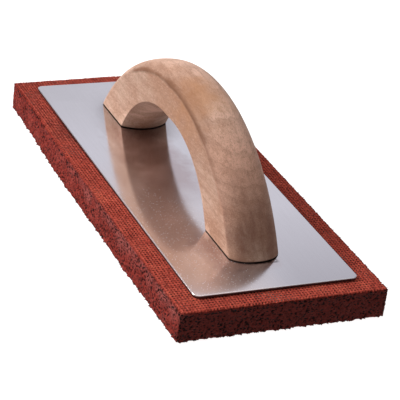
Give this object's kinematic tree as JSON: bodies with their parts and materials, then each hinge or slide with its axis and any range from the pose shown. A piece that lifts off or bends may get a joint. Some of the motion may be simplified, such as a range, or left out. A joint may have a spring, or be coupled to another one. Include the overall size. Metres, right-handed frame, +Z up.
{
  "type": "rubber float",
  "caption": "Hand float for finishing mortar and plaster: a sponge-rubber pad under an aluminium backing plate, with an arched wooden handle.",
  "frame": {"origin": "middle of the pad's sole, at the bottom centre of the float", "axes": "+X along the float's long side, +Y across it, +Z up from the sole towards the handle"},
  "size_m": [0.2414, 0.1016, 0.0712],
  "materials": {
    "sponge_rubber": "brick-red cellular rubber, fabric-imprinted top, cut porous sides and sole",
    "contact_cement": "dried amber contact cement",
    "aluminium_sheet": "satin mill finish with fine scratches",
    "sanded_wood": "bare, sanded light hardwood",
    "screw_steel": "bright zinc plating"
  },
  "bodies": {
    "root": {"rubber_pad": "sponge_rubber", "adhesive_film": "contact_cement", "backing_plate": "aluminium_sheet", "handle": "sanded_wood", "screw_rear_inner": "screw_steel", "screw_rear_outer": "screw_steel", "screw_front_inner": "screw_steel", "screw_front_outer": "screw_steel"}
  },
  "joints": []
}
